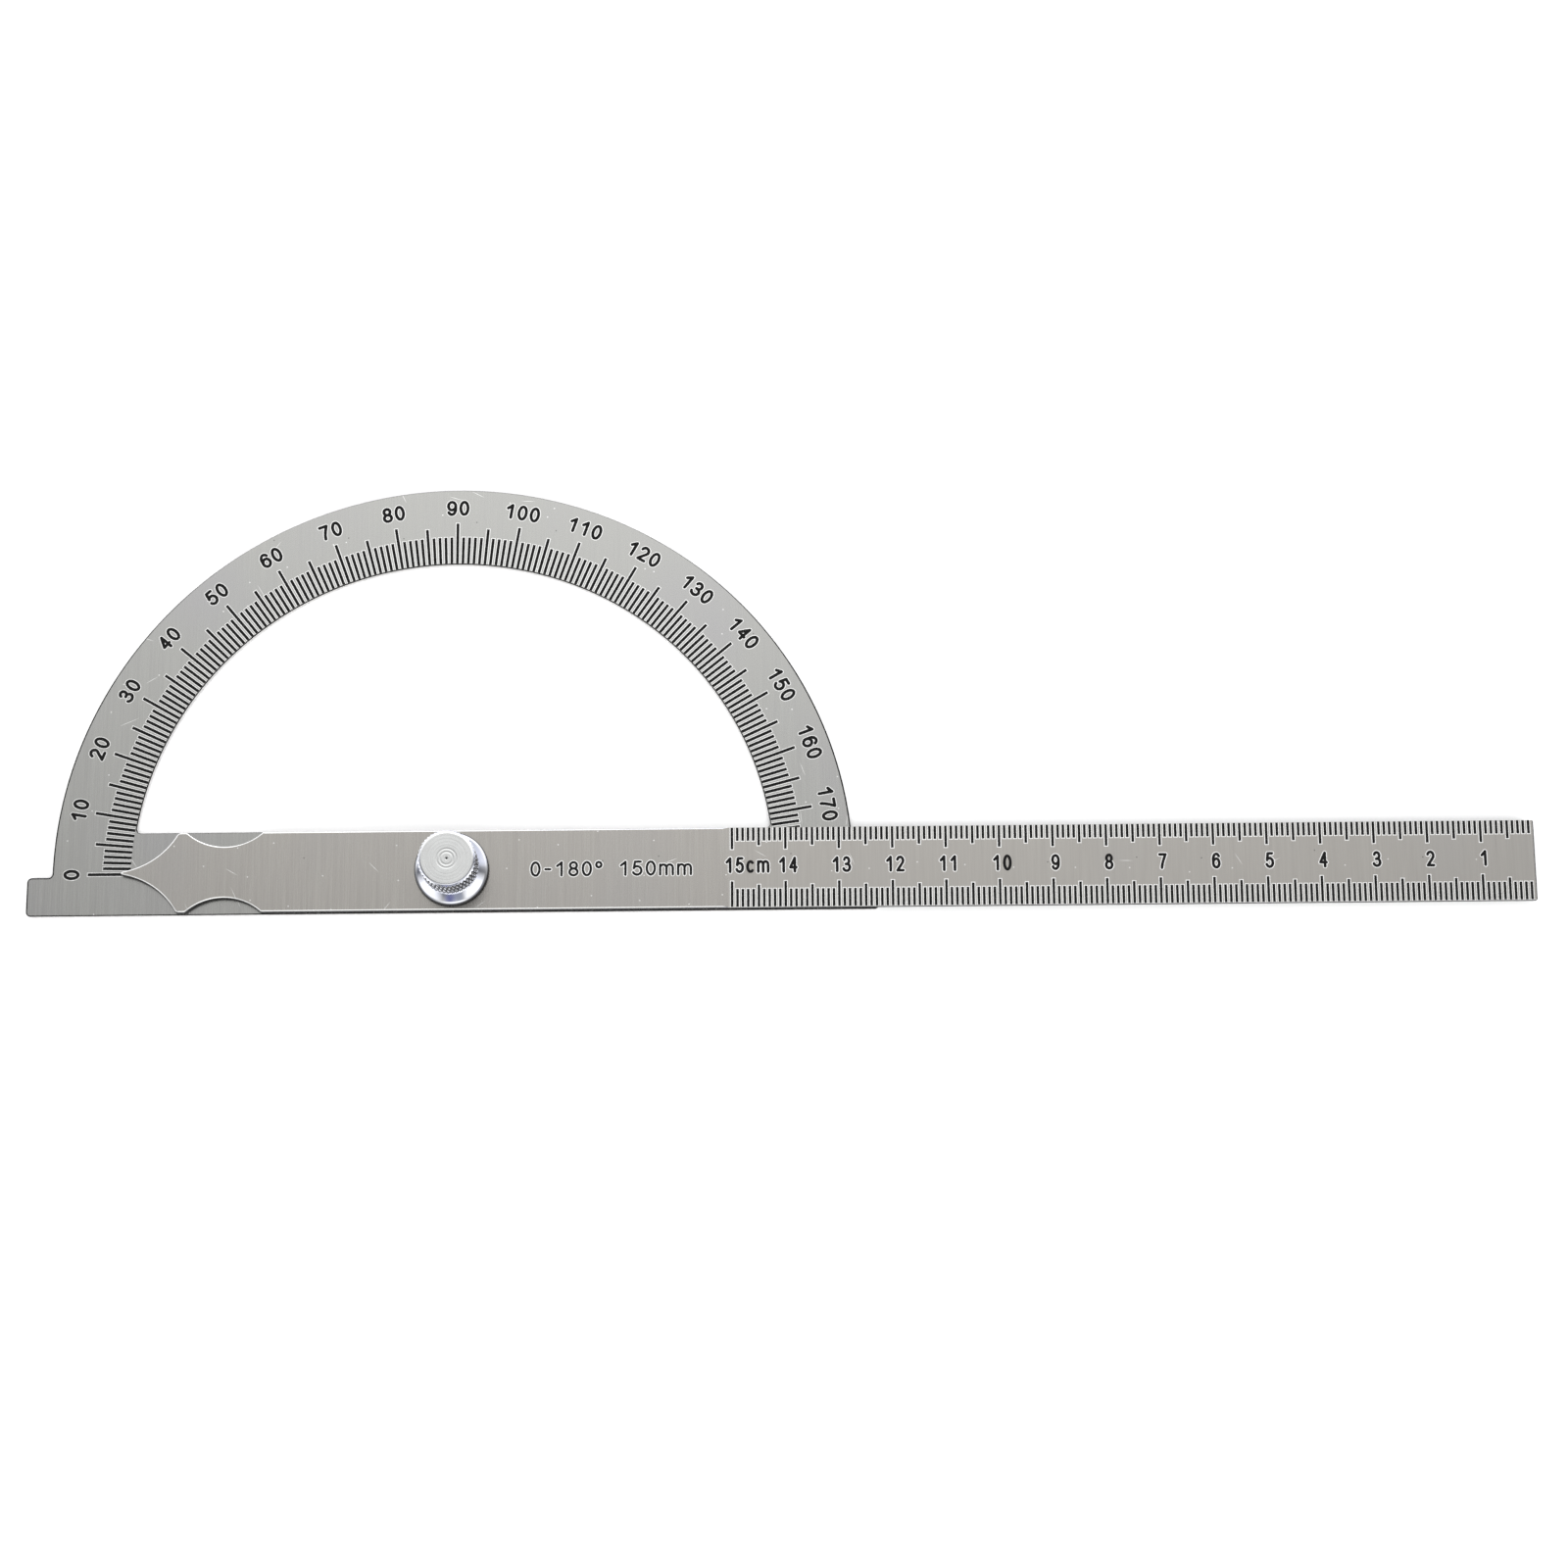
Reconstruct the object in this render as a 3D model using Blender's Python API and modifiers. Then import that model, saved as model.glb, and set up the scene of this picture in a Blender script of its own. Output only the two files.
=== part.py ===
"""Semicircular steel protractor with a pivoting ruler arm and a knurled locking knob.

Frame: origin on the pivot axis at the underside of the plate, +X along the ruler arm,
+Y from the base bar towards the semicircle, +Z up. The arm's pointed end reads 0 degrees.
"""

import bpy
import bmesh
from math import acos, atan2, ceil, cos, pi, radians, sin, sqrt

MM = 0.001

# Stack, from the underside up
PLATE_THICKNESS = 1.2 * MM
ARM_THICKNESS = 1.2 * MM
WASHER_THICKNESS = 0.3 * MM
KNOB_HEIGHT = 9.6 * MM
STACK_GAP = 0.05 * MM          # between flat pieces that lie on each other

# Dial plate
DIAL_OUTER_R = 75.1 * MM
DIAL_INNER_R = 60.2 * MM
BASE_HALF_LENGTH = 79.8 * MM
BASE_HALF_WIDTH = 7.9 * MM
EAR_TOP_Y = -0.5 * MM          # top edge of the ears beyond the dial
EAR_CORNER_R = 0.9 * MM
EAR_FILLET_R = 0.8 * MM        # between an ear's top edge and the dial's rim
WINDOW_FILLET_R = 0.8 * MM     # between the dial's inner edge and the base bar

# Ruler arm
ARM_HALF_WIDTH = 7.65 * MM
ARM_END_X = 202.4 * MM
ARM_END_CORNER_R = 0.3 * MM
TIP_X = -62.1 * MM
TIP_HALF_WIDTH = 0.3 * MM
TIP_CURVE_R = 14.5 * MM        # concave flanks that run out to the tip
TIP_CURVE_X = -64.2 * MM
TIP_CURVE_Y = 14.65 * MM
SCALLOP_R = 10.6 * MM          # one hollow in each long edge, for the fingers
SCALLOP_X = -42.7 * MM
SCALLOP_DEPTH = 2.7 * MM
SHOULDER_R = 0.9 * MM          # rounded corner between tip flank and scallop
SCALLOP_EDGE_R = 0.3 * MM      # corner between scallop and the straight edge

# Pivot stud, fixed in the plate with its head flush underneath
STUD_HEAD_R = 3.6 * MM
STUD_HEAD_DEPTH = 0.55 * MM
JOURNAL_R = 2.5 * MM
THREAD_R = 2.0 * MM            # M4
THREAD_TOP_Z = 9.3 * MM
RUNNING_CLEARANCE = 0.05 * MM  # radial, at every hole round the stud
STUD_END_CHAMFER = 0.4 * MM

# Locking knob and the washer it carries
FLANGE_R = 6.95 * MM
FLANGE_RIM = 0.8 * MM          # height of the cylindrical rim
KNURL_R = 5.45 * MM
KNURL_START = 3.4 * MM         # heights above the knob's clamping face
KNOB_TOP_R = 5.0 * MM
KNOB_TOP_CHAMFER = 0.45 * MM
KNOB_BORE_DEPTH = 7.4 * MM
SPIGOT_R = 3.2 * MM            # centres the washer under the knob
SPIGOT_DEPTH = 0.2 * MM
WASHER_R = 6.3 * MM

# Levels that follow from the stack
ARM_Z = PLATE_THICKNESS + STACK_GAP
ARM_TOP_Z = ARM_Z + ARM_THICKNESS
WASHER_Z = ARM_TOP_Z + STACK_GAP
KNOB_Z = WASHER_Z + WASHER_THICKNESS + STACK_GAP

ARC_TOLERANCE = 0.005 * MM     # how far a straight segment may stand off its arc
TURNED_STEPS = 64
MERGE = 0.00001


def clear_scene():
    for item in list(bpy.data.objects):
        bpy.data.objects.remove(item, do_unlink=True)


def new_collection(name):
    collection = bpy.data.collections.new(name)
    bpy.context.scene.collection.children.link(collection)
    return collection


def steel(name, colour, roughness):
    """A metal finish."""
    material = bpy.data.materials.new(name)
    material.use_nodes = True
    shader = material.node_tree.nodes["Principled BSDF"]
    shader.inputs["Base Color"].default_value = (*colour, 1.0)
    shader.inputs["Metallic"].default_value = 1.0
    shader.inputs["Roughness"].default_value = roughness
    return material


def arc(centre, radius, start, end):
    """Points on a circle from angle start to angle end, both included."""
    step = 2 * acos(1 - ARC_TOLERANCE / radius)
    count = max(3, ceil(abs(end - start) / step))
    angles = [start + (end - start) * i / count for i in range(count + 1)]
    return [(centre[0] + radius * cos(a), centre[1] + radius * sin(a)) for a in angles]


def angle_from(centre, point):
    """Direction from centre to point, in radians from -pi to pi."""
    return atan2(point[1] - centre[1], point[0] - centre[0])


def mirrored_x(points):
    """The same points mirrored in the Y axis, in reverse order."""
    return [(-x, y) for x, y in reversed(points)]


def mirrored_y(points):
    """The same points mirrored in the X axis, in reverse order."""
    return [(x, -y) for x, y in reversed(points)]


def prism(name, loops, bottom, thickness, material, collection):
    """A flat piece between an outline and its holes, as a mesh of one thickness."""
    curve = bpy.data.curves.new(name + "_outline", "CURVE")
    curve.dimensions = "2D"
    curve.fill_mode = "BOTH"
    curve.extrude = thickness / 2
    for loop in loops:
        spline = curve.splines.new("POLY")
        spline.points.add(len(loop) - 1)
        for point, (x, y) in zip(spline.points, loop):
            point.co = (x, y, 0.0, 1.0)
        spline.use_cyclic_u = True
    outline = bpy.data.objects.new(name + "_outline", curve)
    outline.location.z = bottom + thickness / 2
    collection.objects.link(outline)
    bpy.context.view_layer.update()
    evaluated = outline.evaluated_get(bpy.context.evaluated_depsgraph_get())
    mesh = bpy.data.meshes.new_from_object(evaluated)
    mesh.name = name
    welded = bmesh.new()
    welded.from_mesh(mesh)
    bmesh.ops.remove_doubles(welded, verts=welded.verts, dist=MERGE / 10)
    welded.to_mesh(mesh)
    welded.free()
    piece = bpy.data.objects.new(name, mesh)
    piece.matrix_world = outline.matrix_world.copy()
    collection.objects.link(piece)
    bpy.data.objects.remove(outline, do_unlink=True)
    mesh.materials.clear()
    mesh.materials.append(material)
    return piece


def turned(name, profile, level, material, collection, ring=False):
    """A turned piece: its profile, (radius, height) down the outer side, round the Z axis.

    A ring's profile closes on itself; any other starts and ends on the axis.
    """
    mesh = bpy.data.meshes.new(name)
    edges = [(i, i + 1) for i in range(len(profile) - 1)]
    if ring:
        edges.append((len(profile) - 1, 0))
    mesh.from_pydata([(r, 0.0, z) for r, z in profile], edges, [])
    piece = bpy.data.objects.new(name, mesh)
    piece.location.z = level
    collection.objects.link(piece)
    screw = piece.modifiers.new("turn", "SCREW")
    screw.axis = "Z"
    screw.steps = TURNED_STEPS
    screw.render_steps = TURNED_STEPS
    screw.use_merge_vertices = True
    screw.merge_threshold = MERGE
    screw.use_smooth_shade = False
    mesh.materials.append(material)
    return piece


def dial_outline():
    """Rim of the semicircle, both ears and the base bar, clockwise from the left ear."""
    fillet_y = EAR_TOP_Y + EAR_FILLET_R
    fillet_x = -sqrt((DIAL_OUTER_R + EAR_FILLET_R) ** 2 - fillet_y ** 2)
    touch = angle_from((fillet_x, fillet_y), (0.0, 0.0))
    rim_start = angle_from((0.0, 0.0), (fillet_x, fillet_y))
    ear_x = -BASE_HALF_LENGTH + EAR_CORNER_R
    left = arc((ear_x, -BASE_HALF_WIDTH + EAR_CORNER_R), EAR_CORNER_R, 1.5 * pi, pi)
    left += arc((ear_x, EAR_TOP_Y - EAR_CORNER_R), EAR_CORNER_R, pi, 0.5 * pi)
    left += arc((fillet_x, fillet_y), EAR_FILLET_R, -0.5 * pi, touch)
    left += arc((0.0, 0.0), DIAL_OUTER_R, rim_start, 0.5 * pi)[1:]
    return left + mirrored_x(left)[1:]


def window_outline():
    """The D-shaped opening between the dial and the base bar."""
    centre_y = BASE_HALF_WIDTH + WINDOW_FILLET_R
    centre_x = -sqrt((DIAL_INNER_R - WINDOW_FILLET_R) ** 2 - centre_y ** 2)
    corner = angle_from((0.0, 0.0), (centre_x, centre_y))
    left = arc((centre_x, centre_y), WINDOW_FILLET_R, 1.5 * pi, corner)
    left += arc((0.0, 0.0), DIAL_INNER_R, corner, 0.5 * pi)[1:]
    return left + mirrored_x(left)[1:]


def arm_outline():
    """The arm's outline: tip, shoulder, scallop, straight edge and square end."""
    tip = arc((TIP_X + TIP_HALF_WIDTH, 0.0), TIP_HALF_WIDTH, pi, 0.5 * pi)
    flank = (TIP_CURVE_X, TIP_CURVE_Y)
    flank_start = angle_from(flank, (TIP_X + TIP_HALF_WIDTH, TIP_HALF_WIDTH))
    shoulder_y = ARM_HALF_WIDTH - SHOULDER_R
    shoulder_x = TIP_CURVE_X + sqrt((TIP_CURVE_R + SHOULDER_R) ** 2 - (TIP_CURVE_Y - shoulder_y) ** 2)
    flank_end = angle_from(flank, (shoulder_x, shoulder_y))
    upper = tip + arc(flank, TIP_CURVE_R, flank_start, flank_end)[1:]
    upper += arc((shoulder_x, shoulder_y), SHOULDER_R, flank_end + pi, 0.5 * pi)

    scallop_y = ARM_HALF_WIDTH - SCALLOP_DEPTH + SCALLOP_R
    scallop = (SCALLOP_X, scallop_y)
    start_x = SCALLOP_X - sqrt((SCALLOP_R + SHOULDER_R) ** 2 - (scallop_y - shoulder_y) ** 2)
    scallop_start = angle_from(scallop, (start_x, shoulder_y))
    upper += arc((start_x, shoulder_y), SHOULDER_R, 0.5 * pi, scallop_start + pi)
    edge_y = ARM_HALF_WIDTH - SCALLOP_EDGE_R
    end_x = SCALLOP_X + sqrt((SCALLOP_R + SCALLOP_EDGE_R) ** 2 - (scallop_y - edge_y) ** 2)
    scallop_end = angle_from(scallop, (end_x, edge_y))
    upper += arc(scallop, SCALLOP_R, scallop_start, scallop_end)[1:-1]
    upper += arc((end_x, edge_y), SCALLOP_EDGE_R, scallop_end + pi, 0.5 * pi)

    corner = (ARM_END_X - ARM_END_CORNER_R, ARM_HALF_WIDTH - ARM_END_CORNER_R)
    upper += arc(corner, ARM_END_CORNER_R, 0.5 * pi, 0.0)
    return upper + mirrored_y(upper[1:])


def circle(radius):
    return arc((0.0, 0.0), radius, 0.0, 2 * pi)[:-1]


def make_plate(material, parts, cutters):
    """The dial and its base bar, with a counterbore underneath for the stud's head."""
    loops = [dial_outline(), window_outline(), circle(JOURNAL_R + RUNNING_CLEARANCE)]
    plate = prism("protractor_plate", loops, 0.0, PLATE_THICKNESS, material, parts)
    depth = STUD_HEAD_DEPTH + STACK_GAP
    bpy.ops.mesh.primitive_cylinder_add(
        vertices=TURNED_STEPS, radius=STUD_HEAD_R + RUNNING_CLEARANCE, depth=2 * depth)
    cutter = bpy.context.object
    cutter.name = "stud_head_cutter"
    for owner in list(cutter.users_collection):
        owner.objects.unlink(cutter)
    cutters.objects.link(cutter)
    cutter.hide_render = True
    cutter.display_type = "WIRE"
    counterbore = plate.modifiers.new("counterbore", "BOOLEAN")
    counterbore.operation = "DIFFERENCE"
    counterbore.object = cutter
    return plate


def make_stud(material, parts):
    """Flush head, plain journal for the arm and the thread for the knob."""
    shoulder_z = ARM_TOP_Z - STACK_GAP
    profile = [
        (0.0, THREAD_TOP_Z),
        (THREAD_R - STUD_END_CHAMFER, THREAD_TOP_Z),
        (THREAD_R, THREAD_TOP_Z - STUD_END_CHAMFER),
        (THREAD_R, shoulder_z),
        (JOURNAL_R, shoulder_z),
        (JOURNAL_R, STUD_HEAD_DEPTH),
        (STUD_HEAD_R, STUD_HEAD_DEPTH),
        (STUD_HEAD_R, 0.0),
        (0.0, 0.0),
    ]
    return turned("pivot_stud", profile, 0.0, material, parts)


def make_arm(material, parts):
    """The pointed ruler arm, with its bearing hole at the origin."""
    loops = [arm_outline(), circle(JOURNAL_R + RUNNING_CLEARANCE)]
    return prism("ruler_arm", loops, ARM_Z, ARM_THICKNESS, material, parts)


def make_washer(material, parts):
    """Thin washer between knob and arm, loose on the knob's spigot."""
    inner = SPIGOT_R + RUNNING_CLEARANCE
    profile = [
        (inner, WASHER_THICKNESS),
        (WASHER_R, WASHER_THICKNESS),
        (WASHER_R, 0.0),
        (inner, 0.0),
    ]
    return turned("lock_washer", profile, WASHER_Z, material, parts, ring=True)


def flange_curve(count=6):
    """Hollow sweep from the flange's rim up to the foot of the knurl, top to bottom."""
    width = FLANGE_R - KNURL_R
    height = KNURL_START - FLANGE_RIM
    angles = [0.5 * pi * i / count for i in range(1, count)]
    return [(FLANGE_R - width * cos(a), FLANGE_RIM + height * (1 - sin(a))) for a in angles]


def make_knob(material, parts):
    """Closed-top knob: knurled grip, hollow flange, spigot and blind threaded bore."""
    bore_r = THREAD_R + RUNNING_CLEARANCE
    profile = [
        (0.0, KNOB_HEIGHT),
        (KNOB_TOP_R, KNOB_HEIGHT),
        (KNURL_R, KNOB_HEIGHT - KNOB_TOP_CHAMFER),
        (KNURL_R, KNURL_START),
    ]
    profile += flange_curve()
    profile += [
        (FLANGE_R, FLANGE_RIM),
        (FLANGE_R, 0.0),
        (SPIGOT_R, 0.0),
        (SPIGOT_R, -SPIGOT_DEPTH),
        (bore_r, -SPIGOT_DEPTH),
        (bore_r, KNOB_BORE_DEPTH),
        (0.0, KNOB_BORE_DEPTH),
    ]
    return turned("lock_knob", profile, KNOB_Z, material, parts)


def shade_round(pieces):
    """Round pieces shaded smooth, with their real corners kept sharp."""
    for piece in pieces:
        evaluated = piece.evaluated_get(bpy.context.evaluated_depsgraph_get())
        mesh = bpy.data.meshes.new_from_object(evaluated)
        mesh.name = piece.name
        mesh.shade_smooth()
        mesh.set_sharp_from_angle(angle=radians(30))
        piece.modifiers.clear()
        piece.data = mesh


def main():
    clear_scene()
    parts = new_collection("protractor")
    cutters = new_collection("cutters")
    plate_steel = steel("plate_brushed_steel", (0.55, 0.55, 0.56), 0.34)
    arm_steel = steel("arm_brushed_steel", (0.52, 0.51, 0.49), 0.32)
    knob_chrome = steel("knob_chrome", (0.78, 0.79, 0.82), 0.12)
    washer_steel = steel("washer_steel", (0.42, 0.42, 0.43), 0.4)
    stud_steel = steel("stud_steel", (0.6, 0.6, 0.61), 0.3)
    make_plate(plate_steel, parts, cutters)
    make_arm(arm_steel, parts)
    round_pieces = [
        make_stud(stud_steel, parts),
        make_washer(washer_steel, parts),
        make_knob(knob_chrome, parts),
    ]
    bpy.context.view_layer.update()
    shade_round(round_pieces)


main()
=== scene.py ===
"""Looks of the semicircular steel protractor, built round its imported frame.

Lengths are in millimetres, and a mesh is scaled to metres when it is made. The frame is the
CAD's: origin on the pivot axis at the plate's underside, +X along the ruler arm, +Y to the
semicircle, +Z up.
"""

from math import acos, atan2, ceil, cos, floor, hypot, pi, radians, sin, sqrt, tan

import bmesh
import bpy
from mathutils.geometry import delaunay_2d_cdt
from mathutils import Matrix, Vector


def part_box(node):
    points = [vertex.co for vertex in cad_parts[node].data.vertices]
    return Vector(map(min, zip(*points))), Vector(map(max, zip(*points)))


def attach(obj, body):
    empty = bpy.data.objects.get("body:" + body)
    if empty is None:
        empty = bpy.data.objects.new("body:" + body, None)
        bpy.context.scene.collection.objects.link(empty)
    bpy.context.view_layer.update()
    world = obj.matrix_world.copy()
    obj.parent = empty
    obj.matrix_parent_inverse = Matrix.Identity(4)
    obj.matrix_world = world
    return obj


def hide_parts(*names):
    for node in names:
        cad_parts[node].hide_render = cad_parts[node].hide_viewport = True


MM = 0.001
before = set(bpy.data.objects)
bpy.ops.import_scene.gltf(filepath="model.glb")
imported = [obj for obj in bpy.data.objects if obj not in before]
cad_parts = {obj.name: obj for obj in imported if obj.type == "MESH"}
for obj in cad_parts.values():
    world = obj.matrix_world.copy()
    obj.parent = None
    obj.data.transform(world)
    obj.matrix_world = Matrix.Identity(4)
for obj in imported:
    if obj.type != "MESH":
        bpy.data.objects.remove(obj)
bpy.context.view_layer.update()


def span(node, axis):
    """Lowest and highest coordinate of a CAD node along one axis."""
    low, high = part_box(node)
    return low[axis] / MM, high[axis] / MM


# Outer sizes and levels, read from the frame
DIAL_OUTER_R = span("protractor_plate", 1)[1]
BASE_HALF_WIDTH = -span("protractor_plate", 1)[0]
BASE_HALF_LENGTH = span("protractor_plate", 0)[1]
PLATE_LOW, PLATE_HIGH = span("protractor_plate", 2)
TIP_X, ARM_END_X = span("ruler_arm", 0)
ARM_HALF_WIDTH = span("ruler_arm", 1)[1]
ARM_LOW, ARM_HIGH = span("ruler_arm", 2)
STUD_HEAD_R = span("pivot_stud", 0)[1]
STUD_TOP = span("pivot_stud", 2)[1]
WASHER_R = span("lock_washer", 0)[1]
WASHER_LOW, WASHER_HIGH = span("lock_washer", 2)
FLANGE_R = span("lock_knob", 0)[1]
SPIGOT_LOW, KNOB_TOP = span("lock_knob", 2)

# Dial plate, inside its outer sizes
DIAL_INNER_R = 60.2
EAR_TOP_Y = -0.5
EAR_CORNER_R = 0.9
EAR_FILLET_R = 0.8
WINDOW_FILLET_R = 0.8

# Ruler arm, inside its outer sizes
ARM_END_CORNER_R = 0.3
TIP_HALF_WIDTH = 0.3
TIP_CURVE_R = 14.5
TIP_CURVE_X = -64.2
TIP_CURVE_Y = 14.65
SCALLOP_R = 10.6
SCALLOP_X = -42.7
SCALLOP_DEPTH = 2.7
SHOULDER_R = 0.9
SCALLOP_EDGE_R = 0.3

# Pivot stud and its seats
JOURNAL_R = 2.5
RUNNING_CLEARANCE = 0.05
STACK_GAP = 0.05
STUD_HEAD_DEPTH = 0.55
STUD_END_CHAMFER = 0.4
SHOULDER_Z = ARM_HIGH - STACK_GAP
COUNTERBORE_R = STUD_HEAD_R + RUNNING_CLEARANCE
COUNTERBORE_DEPTH = STUD_HEAD_DEPTH + STACK_GAP
DIMPLE_R = 0.5  # centre mark in the head's underside
DIMPLE_DEPTH = 0.25
JOURNAL_EASE = 0.1  # small chamfers: on the journal and on the head's two corners
HEAD_TOP_EASE = 0.05
HEAD_LOW_EASE = 0.08

# M4 thread, right-handed, shared by stud and knob
THREAD_R = 2.0
THREAD_PITCH = 0.7
THREAD_DEPTH = 0.43
THREAD_CREST = 1 / 8  # shares of the pitch taken by the flat crest and the flat root
THREAD_ROOT = 1 / 4
THREAD_RUNOUT = 0.1
THREAD_START = SHOULDER_Z + 0.35
THREAD_ROWS = 10  # rings in each pitch
THREAD_COLUMNS = 64

# Knob, heights above its clamping face
SPIGOT_DEPTH = 0.2
KNOB_FOOT = SPIGOT_LOW + SPIGOT_DEPTH
KNOB_HEIGHT = KNOB_TOP - KNOB_FOOT
SPIGOT_R = 3.2
SPIGOT_EASE = 0.04
FLANGE_RIM = 0.8
RIM_ROUND = 0.2
KNURL_R = 5.45
KNURL_START = 3.4
KNURL_RUNOUT = 0.1
KNOB_TOP_CHAMFER = 0.45
CHAMFER_STEP = 0.08  # between rings on the top chamfer
KNURL_TEETH = 44
KNURL_HELIX = 11  # degrees between the grooves and the knob's axis
KNURL_DEPTH = 0.22
KNURL_STEPS = 8  # columns to a tooth
KNURL_ROWS = 16  # rows to a diamond
KNURL_FLAT = 0.75  # share of a diamond's height left by its flat crest
DIAMOND_HEIGHT = 2 * pi * KNURL_R / KNURL_TEETH / tan(radians(KNURL_HELIX))
NECK_R = 5.2  # plain neck under the knurl, down to the flange's cone
NECK_FILLET = [(0.015, 0.05), (0.0, 0.12)]  # (outside the neck, above the cone)
CONE_FOOT_R = 5.26
CONE_END_R = 6.35
CONE_SLOPE = 42  # degrees
FLARE_SLOPES = (36, 28, 20, 12)  # the cone flattens to these towards the rim
KNOB_COLUMNS = KNURL_TEETH * KNURL_STEPS
BORE_COLUMNS = KNURL_TEETH
BORE_DEPTH = 7.2
BORE_ENTRY = 0.2
DRILL_POINT = 0.9
TOP_BEVEL = 0.23  # smooth bright bevel between the top and the knurl
TOP_BEVEL_DEPTH = 0.07
PIP_R = 0.24  # turning centre left in the knob's top
PIP_DEPTH = 0.24
PIP_BREAK = 0.06  # width and depth of its broken edge
PIP_BREAK_DEPTH = 0.02
TURNING_PITCH = 0.6
TURNING_STEPS = 6  # rings in each pitch
BOLD_RINGS = (0.95, 2.3)  # radii between which the turning rings are deepest
BOLD_DEPTH = 0.018
FAINT_DEPTH = 0.002

# Sheet edges and etched marks
EDGE_BREAK = 0.18
WIDE_BREAK = 0.28  # at both ends of the plate and on the dial's sides
SLIGHT_BREAK = 0.12  # over the dial's top and along the window's base
BEVEL_WIDTH = 0.27  # from the arm's side to its face, up to the scale
BEVEL_DEPTH = 0.09
CORNER_WIDTH = 0.08  # corner outside the arm's polished bevel, rough and painted dark as shade like the side
CORNER_DEPTH = 0.2
RULER_BREAK = 0.06
END_BREAK = 0.25  # corner across the arm's square end, rough and painted dark as shade like the side
MARK_GAP = 0.02  # between a mark's end and the broken edge
ETCH_DEPTH = 0.03
INK_BELOW = 0.006  # the ink lies this far below the sheet's face
INK_GAP = 0.002  # and this far above the etched floor
DIAL_LINE = 0.56
DIAL_LIP = 0.13  # width of the burnished lip along each mark
RULER_LINE = 0.5
RULER_LIP = 0.15
ARC_TOLERANCE = 0.0015
LEVEL_NORMAL = 0.99999  # a face whose normal rises this much is level
FACE, SIDE, CHAMFER, LIP = range(4)  # material slots of a sheet
POLISHED = 1  # slot of the knob's polished faces

# Dial scale: degrees from the left end, over the top
DIAL_TICKS = {1: 5.45, 5: 7.25, 10: 8.25}
DIAL_NUMERAL_R = 71.5
DIAL_NUMERAL = {"height": 3.1, "width": 2.0, "stroke": 0.6, "gap": 0.38}

# Ruler scale: millimetres from the square end
RULER_LENGTH = 150
UPPER_TICKS = {1: 2.6, 5: 3.5, 10: 4.2}
LOWER_TICKS = {1: 3.5, 5: 4.3, 10: 4.95}
RULER_NUMERAL = {"height": 3.1, "width": 1.65, "stroke": 0.54, "gap": 0.35}
RULER_NUMERAL_RIGHT = 0.45  # numerals stand this far right of their lines
RULER_NUMERAL_Y = 0.4
RANGE_TEXT = {"height": 2.95, "width": 1.95, "stroke": 0.46, "gap": 0.55}
RANGE_CENTRE_X = 29.8
SATIN_START_X = ARM_END_X - RULER_LENGTH - 0.8
SATIN_BLEND = 0.5

# Room: (how far a direction points to +Y, brightness there)
ROOM_BRIGHTEST = 2.4
ROOM_LEVELS = [(-1.0, 0.9), (-0.7, 1.3), (-0.4, 1.3), (-0.1, 0.6), (0.05, 0.5), (0.2, 0.84),
               (0.32, 1.85), (0.5, 2.4), (1.0, 1.7)]
# Soft windows: (direction, brightness added), fading between two angles from their middle
WINDOWS = [((-0.85, -0.50, 0.17), 1.1), ((0.80, -0.52, 0.28), 1.1)]
WINDOW_ANGLES = (36, 6)
# Dark doorways in front of the dial: (direction, angles like the windows', colour)
DOORWAYS = [((0.20, -0.92, 0.33), (15, 5), (0.34, 0.36, 0.42)),
            ((-0.12, -0.93, 0.33), (15, 5), (0.13, 0.14, 0.32))]
FLOOR_HALF = 4000.0
FLOOR_GAP = 0.02
# Soft lamps: (name, place in metres, size, power, colour)
LAMPS = [("front_left", (-0.75, -0.70, 0.45), 0.7, 7.0, (1.0, 0.99, 0.97)),
         ("front_right", (0.75, -0.60, 0.50), 0.7, 7.0, (0.98, 0.99, 1.0)),
         ("overhead", (0.0, 0.0, 1.4), 2.0, 16.0, (1.0, 1.0, 1.0))]
CAMERA_PLACE = (0.066292, -0.140402, 0.63212)  # metres
CAMERA_TURN = (0.2433, 0.0084, -0.0079)  # radians
CAMERA_LENS = 79.228  # on the usual 36 mm sensor


# ---- outlines

def polar(radius, angle, x=0.0, y=0.0):
    """The point at a radius and an angle from (x, y)."""
    return x + radius * cos(angle), y + radius * sin(angle)


def arc(centre, radius, start, end):
    """Points on a circle from angle start to angle end, both included."""
    step = 2 * acos(1 - ARC_TOLERANCE / radius)
    count = max(4, ceil(abs(end - start) / step))
    angles = [start + (end - start) * i / count for i in range(count + 1)]
    return [polar(radius, angle, *centre) for angle in angles]


def circle(radius, count):
    """Points of a closed circle round the pivot."""
    return [polar(radius, 2 * pi * i / count) for i in range(count)]


def angle_from(centre, point):
    """Direction from centre to point, in radians."""
    return atan2(point[1] - centre[1], point[0] - centre[0])


def mirrored(points, along=-1, up=1):
    """The same points in reverse order, mirrored by the signs."""
    return [(along * x, up * y) for x, y in reversed(points)]


def between(start, end, share):
    """A number part of the way from start to end, with the share held from 0 to 1."""
    return start + (end - start) * min(1.0, max(0.0, share))


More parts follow.
